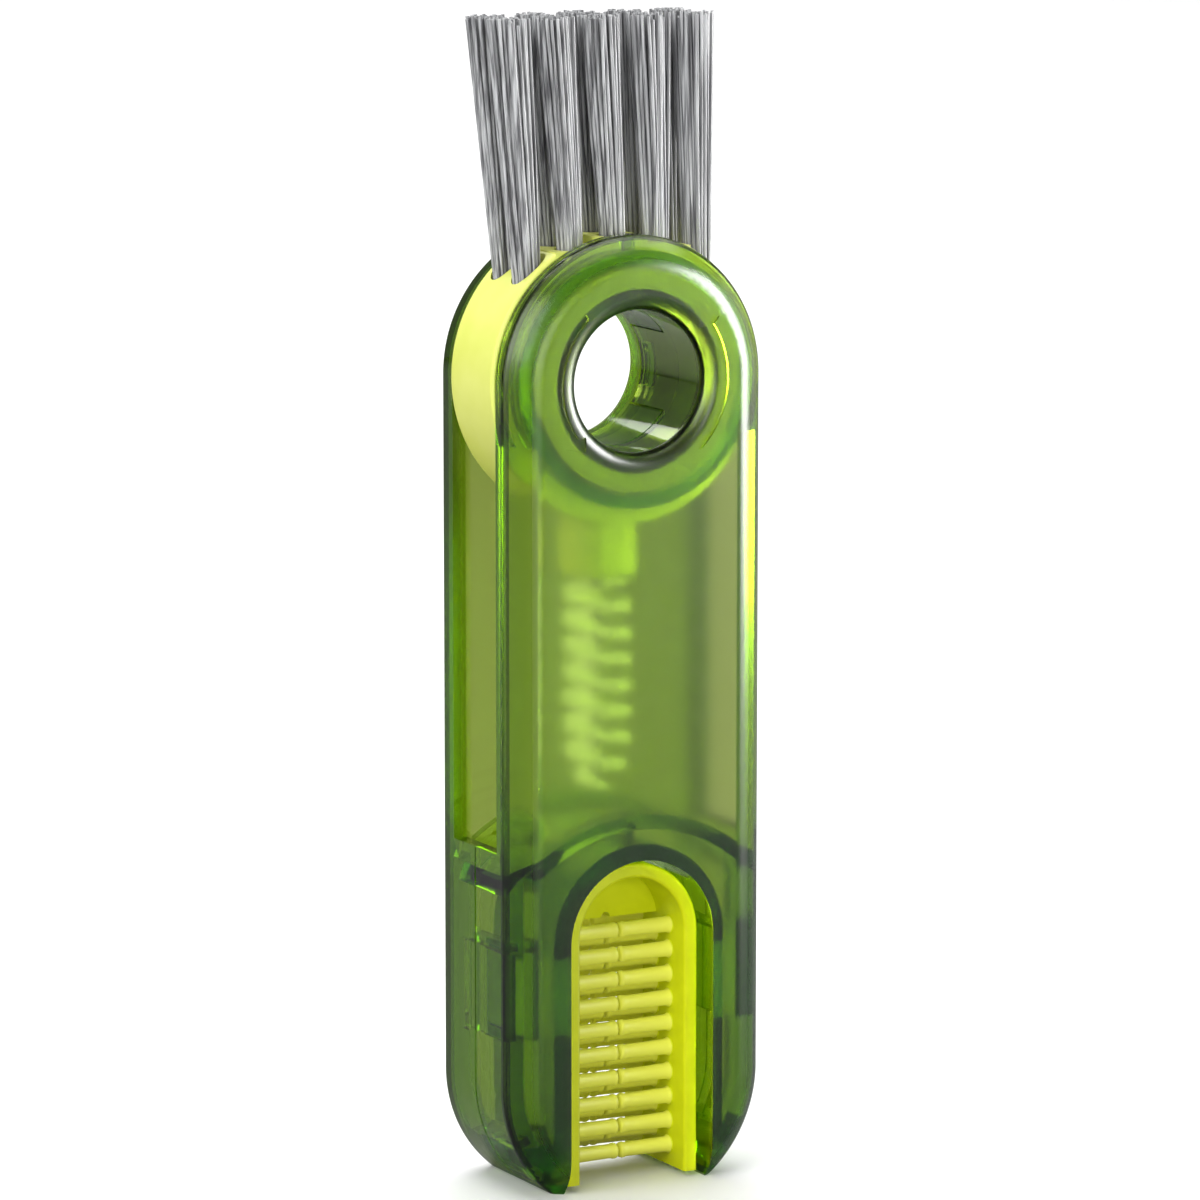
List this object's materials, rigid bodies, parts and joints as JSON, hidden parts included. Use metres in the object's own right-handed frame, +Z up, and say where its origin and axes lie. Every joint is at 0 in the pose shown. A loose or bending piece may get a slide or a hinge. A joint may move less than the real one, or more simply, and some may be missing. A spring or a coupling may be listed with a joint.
{
  "type": "bottle brush",
  "caption": "Pocket brush for cups and bottles: clear green handle, turning carrier with stiff tufts and a narrow brush, and a rubber-lined slot for rims.",
  "frame": {"origin": "on the ground midway between the two horn tips, which the part stands on", "axes": "+X to the right, -Y out of the front panel, +Z up towards the tufts"},
  "size_m": [0.04, 0.0232, 0.1591],
  "materials": {
    "front_shell": "translucent green, fine frosted face with glossy edges",
    "back_shell": "translucent green, fine frosted face with glossy edges",
    "rim_rubber": "soft satin lime rubber",
    "carrier_plastic": "opaque lime plastic, satin",
    "tuft_nylon": "grey nylon filament",
    "tuft_anchor": "plain metal",
    "wire_stem": "twisted steel wire",
    "narrow_bristles": "white nylon filament"
  },
  "bodies": {
    "handle": {"front_shell": "front_shell", "back_shell": "back_shell", "rim_brush": "rim_rubber"},
    "rotor": {"brush_carrier": "carrier_plastic", "narrow_brush_stem": "wire_stem", "narrow_brush_bristles": "narrow_bristles", "tuft_01": "tuft_nylon", "tuft_02": "tuft_nylon", "tuft_03": "tuft_nylon", "tuft_04": "tuft_nylon", "tuft_05": "tuft_nylon", "tuft_06": "tuft_nylon", "tuft_07": "tuft_nylon", "tuft_08": "tuft_nylon", "tuft_09": "tuft_nylon", "tuft_10": "tuft_nylon", "tuft_anchor_01": "tuft_anchor", "tuft_anchor_02": "tuft_anchor", "tuft_anchor_03": "tuft_anchor", "tuft_anchor_04": "tuft_anchor", "tuft_anchor_05": "tuft_anchor", "tuft_anchor_06": "tuft_anchor", "tuft_anchor_07": "tuft_anchor", "tuft_anchor_08": "tuft_anchor", "tuft_anchor_09": "tuft_anchor", "tuft_anchor_10": "tuft_anchor"}
  },
  "joints": [
    {"name": "rotor_turn", "type": "hinge", "parent": "handle", "child": "rotor", "pos_m": [0, 0, 0.1105], "axis": [0, 1, 0], "continuous": true}
  ]
}
